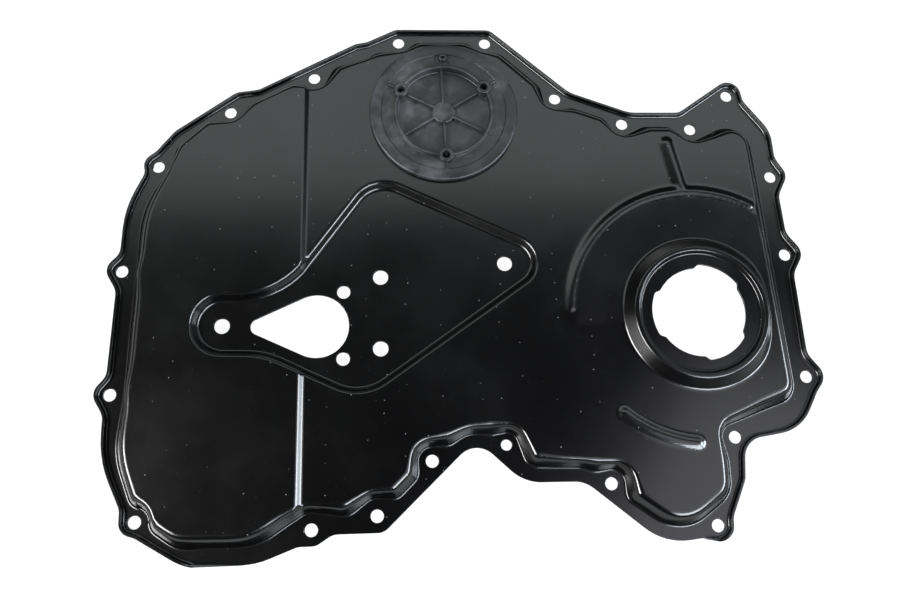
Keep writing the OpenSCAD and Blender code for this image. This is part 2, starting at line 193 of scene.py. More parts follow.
def newMaterial(name):
    material = bpy.data.materials.new(name)
    material.use_nodes = True
    tree = material.node_tree
    tree.nodes.clear()
    out = tree.nodes.new("ShaderNodeOutputMaterial")
    shader = tree.nodes.new("ShaderNodeBsdfPrincipled")
    tree.links.new(shader.outputs["BSDF"], out.inputs["Surface"])
    where = tree.nodes.new("ShaderNodeTexCoord")
    return material, tree, shader, where.outputs["Object"]


def feed(tree, socket, value):
    # links another node's output, or sets a plain value
    if isinstance(value, bpy.types.NodeSocket):
        tree.links.new(value, socket)
    else:
        socket.default_value = value


def node(tree, kind, values, **settings):
    made = tree.nodes.new(kind)
    for key, value in settings.items():
        setattr(made, key, value)
    for key, value in values.items():
        feed(tree, made.inputs[key], value)
    return made


def mixColour(tree, share, a, b):
    return node(tree, "ShaderNodeMix", {0: share, 6: a, 7: b}, data_type="RGBA").outputs[2]


def maths(tree, how, a, b):
    return node(tree, "ShaderNodeMath", {0: a, 1: b}, operation=how).outputs[0]


def ramp(tree, value, low, high, fromShare=0.0, toShare=1.0):
    ends = {"Value": value, "From Min": low, "From Max": high, "To Min": fromShare, "To Max": toShare}
    return node(tree, "ShaderNodeMapRange", ends, clamp=True).outputs["Result"]


def noise(tree, where, scale, detail, rough=0.5):
    values = {"Vector": where, "Scale": scale, "Detail": detail, "Roughness": rough}
    return node(tree, "ShaderNodeTexNoise", values).outputs["Fac"]


def bump(tree, height, strength, distance):
    values = {"Height": height, "Strength": strength, "Distance": distance}
    return node(tree, "ShaderNodeBump", values)


def placeGroup(tree, group, values):
    return node(tree, "ShaderNodeGroup", values, node_tree=group).outputs


def dustGroup():
    # specks of dust: sparse round dots with their own sizes
    smallest = 0.35     # of the full size
    group = bpy.data.node_groups.new("dust", "ShaderNodeTree")
    face = group.interface
    for name, kind in (("Vector", "Vector"), ("Cells", "Float"), ("Size", "Float"), ("Share", "Float")):
        face.new_socket(name, in_out="INPUT", socket_type="NodeSocket" + kind)
    face.new_socket("Specks", in_out="OUTPUT", socket_type="NodeSocketFloat")
    into = group.nodes.new("NodeGroupInput").outputs
    out = group.nodes.new("NodeGroupOutput").inputs
    cells = node(group, "ShaderNodeTexVoronoi", {"Vector": into["Vector"], "Scale": into["Cells"]},
                 voronoi_dimensions="2D")
    pick = node(group, "ShaderNodeSeparateColor", {"Color": cells.outputs["Color"]})
    chosen = maths(group, "LESS_THAN", pick.outputs[0], into["Share"])
    size = maths(group, "MULTIPLY", into["Size"], ramp(group, pick.outputs[1], 0.0, 1.0, smallest, 1.0))
    near = maths(group, "LESS_THAN", cells.outputs["Distance"], size)
    group.links.new(maths(group, "MULTIPLY", chosen, near), out["Specks"])
    return group


dust = dustGroup()
paint = dict(colour=(0.001, 0.001, 0.0011, 1), roughSpan=(0.17, 0.25), coat=0.3, coatRough=0.15,
             film=0.004, filmColour=(0.12, 0.12, 0.125, 1),
             dustColour=(0.1, 0.1, 0.1, 1), dustRough=0.4, fineShare=0.4,
             specks={"Cells": 95.0, "Size": 0.03, "Share": 0.3},
             fineSpecks={"Cells": 240.0, "Size": 0.03, "Share": 0.15},
             peel=0.005, peelHigh=0.0004, waves=0.12, wavesHigh=0.002)


def blackPaint():
    material, tree, shader, where = newMaterial("blackPaint")
    specks = placeGroup(tree, dust, {"Vector": where, **paint["specks"]})["Specks"]
    fine = placeGroup(tree, dust, {"Vector": where, **paint["fineSpecks"]})["Specks"]
    soil = maths(tree, "MAXIMUM", specks, maths(tree, "MULTIPLY", fine, paint["fineShare"]))
    cloud = noise(tree, where, 16.0, 4.0, 0.6)
    film = ramp(tree, cloud, 0.5, 0.75, 0.0, paint["film"])
    colour = mixColour(tree, film, paint["colour"], paint["filmColour"])
    colour = mixColour(tree, soil, colour, paint["dustColour"])
    tree.links.new(colour, shader.inputs["Base Color"])
    rough = ramp(tree, cloud, 0.35, 0.7, *paint["roughSpan"])
    dull = maths(tree, "MULTIPLY", soil, paint["dustRough"])
    tree.links.new(maths(tree, "ADD", rough, dull), shader.inputs["Roughness"])
    # a fine orange peel, and the slow waves of pressed sheet
    peel = bump(tree, noise(tree, where, 420.0, 2.0), paint["peel"], paint["peelHigh"])
    waves = bump(tree, noise(tree, where, 9.0, 1.0), paint["waves"], paint["wavesHigh"])
    tree.links.new(peel.outputs["Normal"], waves.inputs["Normal"])
    tree.links.new(waves.outputs["Normal"], shader.inputs["Normal"])
    shader.inputs["Coat Weight"].default_value = paint["coat"]
    shader.inputs["Coat Roughness"].default_value = paint["coatRough"]
    return material


plastic = dict(colour=(0.007, 0.007, 0.0078, 1), pale=(0.042, 0.042, 0.046, 1), roughSpan=(0.28, 0.46),
               specks={"Cells": 260.0, "Size": 0.05, "Share": 0.3}, speckShare=0.5, grain=0.15, grainHigh=0.0003)


def greyPlastic():
    material, tree, shader, where = newMaterial("greyPlastic")
    cloud = noise(tree, where, 70.0, 5.0, 0.65)
    broad = noise(tree, where, 26.0, 2.0)
    bloom = maths(tree, "MULTIPLY", ramp(tree, cloud, 0.42, 0.66), ramp(tree, broad, 0.4, 0.62))
    colour = mixColour(tree, bloom, plastic["colour"], plastic["pale"])
    specks = placeGroup(tree, dust, {"Vector": where, **plastic["specks"]})["Specks"]
    specks = maths(tree, "MULTIPLY", specks, plastic["speckShare"])
    tree.links.new(mixColour(tree, specks, colour, paint["dustColour"]), shader.inputs["Base Color"])
    tree.links.new(ramp(tree, cloud, 0.3, 0.7, *plastic["roughSpan"]), shader.inputs["Roughness"])
    grain = bump(tree, noise(tree, where, 900.0, 3.0), plastic["grain"], plastic["grainHigh"])
    tree.links.new(grain.outputs["Normal"], shader.inputs["Normal"])
    return material


rubber = dict(dark=(0.012, 0.012, 0.012, 1), pale=(0.03, 0.03, 0.03, 1), rough=0.7)


def sealRubber():
    material, tree, shader, where = newMaterial("sealRubber")
    grain = ramp(tree, noise(tree, where, 500.0, 3.0), 0.4, 0.7)
    tree.links.new(mixColour(tree, grain, rubber["dark"], rubber["pale"]), shader.inputs["Base Color"])
    shader.inputs["Roughness"].default_value = rubber["rough"]
    return material


# the pressed sheet, in mm from the crank axis and the engine face
sheet = dict(thick=1.5, panHigh=10.5, margin=0.6, edgeRound=0.28,
             wallFoot=1.2, wallRun=5.6, footBend=1.6, crestBend=4.6, crestEnd=8.7,
             earShare=0.75, earRounds=(9.0, -6.0), gap=2.5, turnStep=6.0, smooth=7, pull=0.25,
             lipHigh=4.5, lipBend=1.3, lipGap=(-281.0, 3.0), lipFade=14.0, lipLow=(-62.0, -66.0),
             stepX=-224.0, stepRun=4.8, stepHigh=2.4, stepBend=0.28, stepCuts=4, stepPast=1.3,
             boltHole=3.5, narrowHole=3.0, narrowBolt=15, boltTurns=40)
bolts = [
    (-169.5, 176.5), (-116, 176.5), (-221, 152), (33.5, 140.5), (-74, 138.5), (-270.5, 129),
    (-33.5, 121.5), (8.5, 118), (-311, 94), (55, 86.5), (58, 37), (-327.5, 30),
    (61.5, -36), (-329, -40.5), (16.5, -69.5), (-112, -71.5), (-153, -79.5), (-55, -93.5),
    (-183, -108), (-311, -108.5), (2, -117), (-218, -114.5)]


def ear(i, radius):
    # a round about a bolt: solid on the flange, hollow in the wall of the pan
    return (bolts[i][0], bolts[i][1], radius)


flangeRounds = [
    ear(1, 7.6), ear(0, 7.6), (-192, 185, -10), (-192.5, 164.5, 10), (-257, 152.5, -10), (-263, 131.5, 10),
    (-288, 101, 20), (-316.5, 107.5, -6.5), ear(8, 7.5), (-326, 90, -8), (-266, 53, 62), (-337, 43.5, -8.7),
    ear(11, 7.5), (-339, 15.5, -9.8), (-339.5, -27, -9), ear(13, 7.7), (-341, -55, -10), (-271, -62, 60),
    (-327.5, -104, -9), ear(19, 7.4), (-313, -124, -8), (-277.5, -106.5, 25), (-254.5, -91.5, 40), (-223.5, -131, -8),
    ear(21, 8.4), (-203.5, -127, -10), ear(18, 8.8), (-128.5, -85.5, -12.7), (-93, -67, 25), (-75.5, -109, -17),
    (-18, -92, 32.5), (-7, -133.5, -10), ear(20, 7.7), (20, -115, -10.2), (6.5, -89.5, 12.5), (32, -82, -12.2),
    (37.5, -43, 25.4), (72, -49.5, -8), ear(12, 8.5), (72.5, -19.5, -10.3), (71, 22, -10.3), ear(10, 8.4),
    (69, 53.5, -10.3), (68, 71.5, -10.3), ear(9, 8.2), (68.5, 101, -10.8), (35.5, 108, 22), (50, 139, -8),
    ear(3, 8), (-1, 136, -8), (-25.5, 148, -20), (-55, 159, -20)]
panRounds = [
    (41, -39.5, 13), (30.5, 104, 15), ear(7, -7.5), (-7.5, 111.2, 9), (-18.5, 111.2, 9), ear(6, -7.2),
    (-50, 118.2, 9), (-64.5, 123.5, 9), ear(4, -6.8), (-90.5, 142, 9), (-110, 160.5, 9), ear(1, -6.6),
    (-130.5, 168, 9), (-155.5, 168, 9), ear(0, -6.6), (-180, 160.5, 9.5), (-195.5, 173.2, -10), (-203, 152, 9),
    ear(2, -7.2), (-231.5, 138.3, 9.5), (-250.5, 150.5, -12), (-253.8, 127, 9), ear(5, -6.8), (-279.5, 114, 9.5),
    (-293.3, 101.5, 9), ear(8, -6.5), (-260.5, 51.5, 59), ear(11, -7.8), (-298.5, -5, 22.5), ear(13, -7.5),
    (-278, -66.5, 46), (-307, -93.5, 9.2), ear(19, -7.2), (-294.8, -108.3, 9.2), (-282.5, -104.2, 19.5),
    (-256.5, -91.5, 32.5), ear(21, -8.2), (-202, -96, 13),
    ear(18, -8.5), (-175, -91.5, 9), (-168.5, -85, 9), ear(16, -7), (-145.5, -63.5, 9), (-129, -81, -15),
    (-120, -58, 9), ear(15, -6), (-95, -76, 9), (-74, -97.3, -12), (-63, -78.8, 9.2), ear(17, -7),
    (-39, -98, 9.2), (-19, -92.7, 25.2), (-4.5, -92.5, 16.7), (3, -83, 9.2), ear(14, -7)]
recess = dict(deep=4.0, run=5.0, bend=2.4, corner=1.3, studHole=4.3, pinHole=3.75, holeTurns=48, dropStep=4.0,
              studs=[(-268.8, -3.7), (-180.8, 23.8), (-180.8, -17.6), (-109.6, 31.4)],
              pins=[(-201.6, 15.3), (-201.6, -23.1)], drop=[(-216.5, -4.3, 18.0), (-248.5, -4.3, 4.6)])
recessRounds = [
    (-106.8, 31.5, 16.5), (-178.5, 60, 21.5), (-261, 59.5, -45), (-267.5, -3.7, 18.5),
    (-254.5, -62.5, -40), (-193.8, -14.1, 29.5)]
collar = dict(segments=144, crest=38.0, reach=43.0, blend=12,
              chain=[(46.2, 0, 0), (44.0, 0, 3.0), (38.0, 5.5, 1.6),
                     (35.6, 5.5, 1.0), (34.3, 3.0, 1.0), (32.6, 3.0, 0)],
              opening=25.6, notch=27.8, notches=3, notchAngle=58.0, notchStart=62.0, soften=8.0, openTurns=240)
bead = dict(line=73.5, half=5.0, high=1.35, bend=0.35, long=(61.0, 177.0), short=(230.0, 264.0),
            rib=((-4.0, 77.0), (-10.0, 105.0)), pitch=1.1,
            climb=0.8, climbStart=(44.0, 60.0), climbStop=(176.0, 190.0),
            climbReach=(44.0, 70.0), climbEnd=(70.0, 79.0),
            boxes=(((-80.5, -7.0), (39.0, 80.0)), ((-19.0, 80.0), (4.0, 113.0)), ((-60.0, -81.0), (0.0, -48.0))))
access = dict(centre=(-143.0, 124.4), hole=37.0, near=1.0, turns=96)


def lipShare(x, y):
    # the turned-up edge runs out along the lower side
    inside = min(x - sheet["lipGap"][0], sheet["lipGap"][1] - x)
    return 1.0 - ease(inside / sheet["lipFade"] + 0.5) * ease(through(y, sheet["lipLow"]))


def edgeAndLip(bm):
    belt = beltOf(flangeRounds, sheet["turnStep"])
    thick, bend, high = sheet["thick"], sheet["lipBend"], sheet["lipHigh"]
    chain = filletChain([(thick + bend + sheet["margin"], thick, 0), (thick, thick, bend), (thick, high, 0)], 6)
    reach = chain[0][0]
    loop = newLoop(bm, setIn(belt, reach, thick))
    inner = loop
    for k, p in enumerate(chain[1:], 1):
        points = []
        for spot in belt:
            x, y, r, a = spot
            share = lipShare(x + r * math.cos(a), y + r * math.sin(a))
            even = reach * (1.0 - k / (len(chain) - 1))     # flat sheet out to the cut edge
            points += setIn([spot], even + (p[0] - even) * share, thick + (p[1] - thick) * share)
        loop = extrudeLoop(bm, loop, points)
    return inner


def drawnWall(bm, lift):
    belt = beltOf(panRounds, sheet["turnStep"], sheet["gap"])
    rise = sheet["panHigh"] - sheet["thick"]
    chain = filletChain([(-sheet["margin"], 0, 0), (sheet["wallFoot"], 0, sheet["footBend"]),
                         (sheet["wallRun"], rise, sheet["crestBend"]), (sheet["crestEnd"], rise, 0)], 7)
    loop = newLoop(bm, setIn(belt, chain[0][0], sheet["thick"]))
    foot = loop
    for p in chain[1:]:
        points = setIn(belt, p[0], sheet["thick"] + p[1], sheet["earShare"])
        for again in range(sheet["smooth"]):
            # the bends get broader towards the crest
            after = points[1:] + points[:1]
            points = [q + (points[i - 1] + after[i] - q * 2) * sheet["pull"] * p[1] / rise
                      for i, q in enumerate(points)]
        loop = extrudeLoop(bm, loop, points)
        for v in loop:
            v[lift] = p[1] / rise
    return foot, loop


def sunkRecess(bm, lift):
    belt = beltOf(recessRounds, sheet["turnStep"])
    deep, run, bend, corner = recess["deep"], recess["run"], recess["bend"], recess["corner"]
    chain = filletChain([(-sheet["margin"], 0, 0), (corner, 0, bend), (run - corner, -deep, bend),
                         (run + sheet["margin"], -deep, 0)], 6)
    loop = newLoop(bm, setIn(belt, chain[0][0], sheet["panHigh"]))
    rim = loop
    for v in loop:
        v[lift] = 1.0
    for p in chain[1:]:
        loop = extrudeLoop(bm, loop, setIn(belt, p[0], sheet["panHigh"] + p[1]))
        for v in loop:
            v[lift] = 1.0 + p[1] / deep
    floor = sheet["panHigh"] - deep
    drop = beltOf(recess["drop"], recess["dropStep"])
    holes = [extrudeLoop(bm, newLoop(bm, setIn(drop, 0, floor)), setIn(drop, -sheet["margin"], floor))]
    for spots, radius in ((recess["studs"], recess["studHole"]), (recess["pins"], recess["pinHole"])):
        holes += [ringHole(bm, p, radius, floor, recess["holeTurns"]) for p in spots]
    fillFlat(bm, [loop] + holes)
    return rim


def crankCollar(bm, lift):
    chain = filletChain(collar["chain"], 6)
    count = collar["segments"]
    base = sheet["panHigh"]
    foot = circleLoop(bm, (0, 0), chain[0][0], base + chain[0][1], count)
    ways = [v.co.xy.normalized() for v in foot]

    def ringAt(p):
        # the foot is pulled in where it meets the drawn wall
        crest, full, blend = collar["crest"], chain[0][0], collar["blend"]
        points = []
        for w in ways:
            free = (full ** -blend + (max(w.x, 0.1) / collar["reach"]) ** blend) ** (-1 / blend)
            r = crest + (p[0] - crest) * (free - crest) / (full - crest) if p[0] > crest else p[0]
            points.append(Vector((w.x * r, w.y * r, base + p[1])) * mm)
        return points

    for v, point in zip(foot, ringAt(chain[0])):
        v.co = point
    loop = foot
    for p in chain[1:]:
        loop = extrudeLoop(bm, loop, ringAt(p))
    half, pitch = collar["notchAngle"] / 2, 360.0 / collar["notches"]
    high = Vector((0, 0, base + chain[-1][1])) * mm
    inner, outer = [], []
    for k in range(collar["openTurns"]):
        a = k * 360.0 / collar["openTurns"]
        # how far it is from the middle of the nearest wide part
        off = abs((a - collar["notchStart"] + pitch / 2) % pitch - pitch / 2)
        share = 1.0 - ease((off - half) / collar["soften"] + 0.5)
        r = collar["opening"] + (collar["notch"] - collar["opening"]) * share
        way = Vector((math.cos(math.radians(a)), math.sin(math.radians(a)), 0)) * mm
        inner.append(way * r + high)
        outer.append(way * (r + sheet["margin"]) + high)
    fillFlat(bm, [loop, extrudeLoop(bm, newLoop(bm, inner), outer)])
    for v in foot:
        v[lift] = 1.0
    return foot


def awayFromLine(p, a, b):
    way = b - a
    t = max(0.0, min(1.0, (p - a).dot(way) / way.length_squared))
    return (p - a - way * t).length


def awayFromArc(p, ends):
    angle = math.degrees(math.atan2(p.y, p.x)) % 360.0
    if ends[0] <= angle <= ends[1]:
        return abs(p.length - bead["line"])
    tips = [Vector((math.cos(math.radians(a)), math.sin(math.radians(a)))) * bead["line"] for a in ends]
    return min((p - tip).length for tip in tips)


def beadHeight(p):
    away = [awayFromArc(p, bead["long"]), awayFromArc(p, bead["short"])]
    away.append(awayFromLine(p, Vector(bead["rib"][0]), Vector(bead["rib"][1])))
    flat = math.prod(slopeShare(d / bead["half"], bead["bend"]) for d in away)
    return bead["high"] * (1.0 - flat)


def innerRise(p):
    # inside the long bead the pan climbs a little from the collar to the bead
    angle = math.degrees(math.atan2(p.y, p.x)) % 360.0
    share = ease(through(angle, bead["climbStart"])) * (1.0 - ease(through(angle, bead["climbStop"])))
    way = max(0.0, min(1.0, through(p.length, bead["climbReach"])))
    return bead["climb"] * share * way * (1.0 - ease(through(p.length, bead["climbEnd"])))


def allOf(faces):
    # each corner and edge once, in the order of the faces
    verts = dict.fromkeys(v for f in faces for v in f.verts)
    edges = dict.fromkeys(e for f in faces for e in f.edges)
    return list(verts) + list(edges) + faces


def cutAt(bm, geom, axis, spot):
    normal = Vector((1, 0, 0)) if axis == 0 else Vector((0, 1, 0))
    snap = 2e-5     # nearer corners are cut through, so no slivers are left
    return bmesh.ops.bisect_plane(bm, geom=geom, dist=snap, plane_co=normal * spot * mm, plane_no=normal)["geom"]


def cutPlanes(bm, pick, axis, spots):
    # cuts only the faces that pick accepts, at each spot along an axis
    for spot in spots:
        cutAt(bm, allOf([f for f in bm.faces if pick(f)]), axis, spot)


def cutGrid(bm, panLayer, low, high):
    # a fine grid on the flat of the pan inside a box
    def touches(f):
        if not f[panLayer]:
            return False
        xs = [v.co.x / mm for v in f.verts]
        ys = [v.co.y / mm for v in f.verts]
        return max(xs) > low[0] and min(xs) < high[0] and max(ys) > low[1] and min(ys) < high[1]

    def inside(f):
        c = f.calc_center_bounds() / mm
        return f[panLayer] and low[0] < c.x < high[0] and low[1] < c.y < high[1]

    for axis in (0, 1):
        cutPlanes(bm, touches, axis, (low[axis], high[axis]))
    for axis in (0, 1):
        count = round((high[axis] - low[axis]) / bead["pitch"])
        geom = allOf([f for f in bm.faces if inside(f)])
        for k in range(1, count):
            geom = cutAt(bm, geom, axis, low[axis] + (high[axis] - low[axis]) * k / count)
    print("grid cut", len(bm.faces))


def raisePan(bm, lift):
    # beads on the flat of the pan, then the step across everything that lies on it
    for v in bm.verts:
        if v[lift] > 0.999 and abs(v.co.z / mm - sheet["panHigh"]) < 0.01:
            v.co.z += max(beadHeight(v.co.xy / mm), innerRise(v.co.xy / mm)) * mm
        past = (v.co.x / mm - sheet["stepX"]) / sheet["stepRun"] + 0.5
        share = 1.0 - slopeShare(past, sheet["stepBend"])
        v.co.z += v[lift] * sheet["stepHigh"] * share * mm


def thicken(piece):
    wall = piece.modifiers.new("thickness", "SOLIDIFY")
    wall.thickness = sheet["thick"] * mm
    wall.offset = -1.0
    wall.use_even_offset = False
    edges = piece.modifiers.new("cutEdges", "BEVEL")
    edges.width = sheet["edgeRound"] * mm
    edges.segments = 2
    edges.limit_method = "WEIGHT"
    edges.use_clamp_overlap = False
    edges.harden_normals = True


def pressedSheet(material):
    bm = bmesh.new()
    lift = bm.verts.layers.float.new("lift")        # 1 on the pan, 0 on the flange
    panLayer = bm.faces.layers.int.new("pan")
    edge = edgeAndLip(bm)
    foot, panEdge = drawnWall(bm, lift)
    holes = []
    for i, p in enumerate(bolts):
        r = sheet["narrowHole"] if i == sheet["narrowBolt"] else sheet["boltHole"]
        holes.append(ringHole(bm, p, r, sheet["thick"], sheet["boltTurns"]))
    fillFlat(bm, [edge, foot] + holes)
    rim = sunkRecess(bm, lift)
    ring = crankCollar(bm, lift)
    plugHole = ringHole(bm, access["centre"], access["hole"], sheet["panHigh"], access["turns"])
    for v in bm.verts:
        if (v.co.xy / mm - Vector(access["centre"])).length < access["hole"] + access["near"]:
            v[lift] = 1.0
    for f in fillFlat(bm, [panEdge, rim, ring, plugHole]):
        f[panLayer] = 1
    print("sheet drawn", len(bm.faces))
    half, cuts, past = sheet["stepRun"] / 2, sheet["stepCuts"], sheet["stepPast"]
    shares = [-past] + [k / cuts for k in range(-cuts, cuts + 1)] + [past]
    cutPlanes(bm, lambda f: True, 0, [sheet["stepX"] + half * share for share in shares])
    for low, high in bead["boxes"]:
        cutGrid(bm, panLayer, low, high)
    raisePan(bm, lift)
    bmesh.ops.recalc_face_normals(bm, faces=bm.faces[:])
    if sum(f.normal.z * f.calc_area() for f in bm.faces) < 0:
        bmesh.ops.reverse_faces(bm, faces=bm.faces[:])
    cutEdge = bm.edges.layers.float.new("bevel_weight_edge")
    for e in bm.edges:
        e[cutEdge] = 1.0 if e.is_boundary else 0.0
    piece = toObject(bm, "pressedSheet", material)
    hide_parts("cover")
    thicken(piece)
    print("sheet done")


# the access plug, in mm from its own axis
plug = dict(centre=access["centre"], turns=128, sharp=40.0,
            top=13.8, rim=44.0, rimRound=1.1, flangeThick=3.0, channel=37.2, channelDeep=0.8, channelRound=0.3,
            ring=(27.6, 29.4), ringHigh=1.0, ringRound=0.45, ringDraft=(0.15, 0.2), ringFoot=(0.7, 0.4),
            floor=9.8, floorThick=2.0, skirt=36.5, skirtThick=2.5, skirtDeep=3.0, low=6.2,
            edge=0.4, corner=0.2, seal=(39.3, 41.7), groove=1.5, grooveRound=0.1,
            hub=6.8, hubHigh=2.3, hubRound=0.8, hubDraft=0.3, hubTurns=64, sink=0.5, root=1.5)
ribs = dict(turn=32.0, thick=1.5, high=2.7, intoHub=1.5, intoRing=0.8, bevel=0.35,
            stub=(0.2, 33.5), stubThick=1.2, stubHigh=0.55, arm=(3.5, 0.3), armHigh=0.3, armBevel=0.3)
bosses = dict(at=28.5, outer=4.3, hole=2.3, high=15.2, floor=10.3, turns=40, drill=3.0, drillLong=10.0, drillTurns=32,
              holeFoot=0.2, holeRound=0.3, rimRound=0.5, draft=0.2)
pip = dict(angle=90.0, at=35.0, outer=2.5, hole=0.9, high=1.0, deep=0.8, turns=32,
           guardOff=6.0, guard=(32.0, 37.0), guardThick=0.9, guardHigh=0.35, fineBevel=0.25)
lugs = dict(count=3, start=150.0, angle=40.0, reach=39.5, thick=2.5, root=1.0, rounds=(0.5, 0.4), turns=16)


def spinClosed(bm, line, turns, centre=(0.0, 0.0), angle=360.0, start=0.0):
    # turns a line of (radius, z) about an upright axis
    turn = Matrix.Rotation(math.radians(start), 3, "Z")
    verts = [bm.verts.new(turn @ Vector((max(p[0], 0.0), 0, p[1])) * mm) for p in line]
    edges = [bm.edges.new(pair) for pair in zip(verts, verts[1:])]
    bmesh.ops.spin(bm, geom=verts + edges, cent=(0, 0, 0), axis=(0, 0, 1), steps=turns,
                   angle=math.radians(angle), use_merge=angle >= 360.0)
    # what hangs together with the line is what was spun
    mine = dict.fromkeys(v for v in verts if v.is_valid)
    reach = list(mine)
    while reach:
        v = reach.pop()
        for e in v.link_edges:
            other = e.other_vert(v)
            if other not in mine:
                mine[other] = None
                reach.append(other)
    bmesh.ops.remove_doubles(bm, verts=list(mine), dist=1e-6)
    mine = [v for v in mine if v.is_valid]
    bmesh.ops.translate(bm, verts=mine, vec=Vector((centre[0], centre[1], 0)) * mm)


def plugBody(bm):
    p = plug
    top, floor, low = p["top"], p["floor"], p["low"]
    ringIn, ringOut = p["ring"]
    sealIn, sealOut = p["seal"]
    ringTop, channelFloor = top + p["ringHigh"], top - p["channelDeep"]
    under = top - p["flangeThick"]
    grooveTop, skirtTop, skirtIn = under + p["groove"], low + p["skirtDeep"], p["skirt"] - p["skirtThick"]
    below = floor - p["floorThick"]
    line = filletChain([
        (0, floor, 0), (ringIn, floor, p["ringFoot"][0]), (ringIn + p["ringDraft"][0], ringTop, p["ringRound"]),
        (ringOut, ringTop, p["ringRound"]), (ringOut + p["ringDraft"][1], channelFloor, p["ringFoot"][1]),
        (p["channel"] - p["corner"], channelFloor, p["channelRound"]), (p["channel"], top, p["channelRound"]),
        (p["rim"], top, p["rimRound"]), (p["rim"], under, p["edge"]),
        (sealOut, under, p["grooveRound"]), (sealOut, grooveTop, p["grooveRound"]),
        (sealIn, grooveTop, p["grooveRound"]), (sealIn, under, p["grooveRound"]),
        (p["skirt"], under, p["corner"]), (p["skirt"], low, p["edge"]),
        (skirtIn, low, p["edge"]), (skirtIn, skirtTop, p["edge"]),
        (ringOut, skirtTop, p["corner"]), (ringOut, below, p["corner"]), (0, below, 0)], 3)
    spinClosed(bm, line, p["turns"])


def aboutPlug(angle, radius, z):
    a = math.radians(angle)
    return Vector((radius * math.cos(a), radius * math.sin(a), z))


def addBar(bm, angle, ends, wide, low, high, bevel):
    # a bar along a radius of the plug
    near, far = ends
    size = Matrix.Diagonal((far - near, wide, high - low, 1.0))
    place = Matrix.Translation(aboutPlug(angle, (near + far) / 2, (low + high) / 2))
    turn = Matrix.Rotation(math.radians(angle), 4, "Z")
    made = bmesh.ops.create_cube(bm, size=1.0, matrix=Matrix.Scale(mm, 4) @ place @ turn @ size)["verts"]
    edges = list(dict.fromkeys(e for v in made for e in v.link_edges))
    bmesh.ops.bevel(bm, geom=edges, offset=bevel * mm, offset_type="OFFSET", segments=3, profile=0.5,
                    affect="EDGES", material=-1)


def addTube(bm, angle, plan, low, high, floor):
    spot = aboutPlug(angle, plan["at"], 0)
    hole, outer = plan["hole"], plan["outer"]
    line = filletChain([(0, floor, 0), (hole, floor, bosses["holeFoot"]), (hole, high, bosses["holeRound"]),
                        (outer, high, bosses["rimRound"]), (outer + bosses["draft"], low, 0)], 4)
    spinClosed(bm, line, plan["turns"], (spot.x, spot.y))


def cutBosses(bm):
    # sinks the three screw holes into the body
    mesh = bpy.data.meshes.new("plugBody")
    bm.to_mesh(mesh)
    body = bpy.data.objects.new("plugBody", mesh)
    drills = bmesh.new()
    for i in range(3):
        spot = aboutPlug(ribs["turn"] + 120 * i, bosses["at"], bosses["floor"] + bosses["drillLong"] / 2)
        bmesh.ops.create_cone(drills, cap_ends=True, segments=bosses["drillTurns"], radius1=bosses["drill"] * mm,
                              radius2=bosses["drill"] * mm, depth=bosses["drillLong"] * mm,
                              matrix=Matrix.Translation(spot * mm))
    drillMesh = bpy.data.meshes.new("drills")
    drills.to_mesh(drillMesh)
    drills.free()
    drill = bpy.data.objects.new("drills", drillMesh)
    for o in (body, drill):
        bpy.context.collection.objects.link(o)
    cut = body.modifiers.new("holes", "BOOLEAN")
    cut.object = drill
    cut.operation = "DIFFERENCE"
    cut.solver = "EXACT"
    bpy.context.view_layer.update()
    done = bpy.data.meshes.new_from_object(body.evaluated_get(bpy.context.evaluated_depsgraph_get()))
    for o in (body, drill):
        bpy.data.objects.remove(o)
    bm.clear()
    bm.from_mesh(done)
    bpy.data.meshes.remove(done)


def addHub(bm):
    high, low = plug["floor"] + plug["hubHigh"], plug["floor"] - plug["sink"]
    line = filletChain([(0, high, 0), (plug["hub"], high, plug["hubRound"]),
                        (plug["hub"] + plug["hubDraft"], low, 0)], 4)
    spinClosed(bm, line, plug["hubTurns"])


def addRibs(bm):
    floor, top = plug["floor"], plug["top"]
    ring, channel = plug["ring"][0], plug["channel"]
    low, root = floor - plug["sink"], top - plug["root"]
    for i in range(6):
        angle = ribs["turn"] + 60 * i
        ends = (plug["hub"] - ribs["intoHub"], ring + ribs["intoRing"])
        addBar(bm, angle, ends, ribs["thick"], low, floor + ribs["high"], ribs["bevel"])
        if i % 2:
            # a short rib over the channel
            ends = (ring + ribs["stub"][0], ribs["stub"][1])
            high = top - plug["channelDeep"] + ribs["stubHigh"]
            addBar(bm, angle, ends, ribs["stubThick"], root, high, pip["fineBevel"])
        else:
            # a screw boss with an arm to the rim
            addTube(bm, angle, bosses, low, bosses["high"], bosses["floor"])
            ends = (bosses["at"] + ribs["arm"][0], channel + ribs["arm"][1])
            addBar(bm, angle, ends, ribs["thick"], root, top + ribs["armHigh"], ribs["armBevel"])


def addPip(bm):
    top, root = plug["top"], plug["top"] - plug["root"]
    addTube(bm, pip["angle"], pip, root, top + pip["high"], top - pip["deep"])
    for side in (-1, 1):
        angle = pip["angle"] + side * pip["guardOff"]
        addBar(bm, angle, pip["guard"], pip["guardThick"], root, top + pip["guardHigh"], pip["fineBevel"])


def addLugs(bm):
    root, reach = plug["skirt"] - lugs["root"], lugs["reach"]
    low, high = plug["low"], plug["low"] + lugs["thick"]
    line = filletChain([(root, low, 0), (reach, low, lugs["rounds"][0]), (reach, high, lugs["rounds"][1]),
                        (root, high, 0)], 3)
    for i in range(lugs["count"]):
        start = 360 / lugs["count"] * i + lugs["start"] - lugs["angle"] / 2
        spinClosed(bm, line, lugs["turns"], angle=lugs["angle"], start=start)


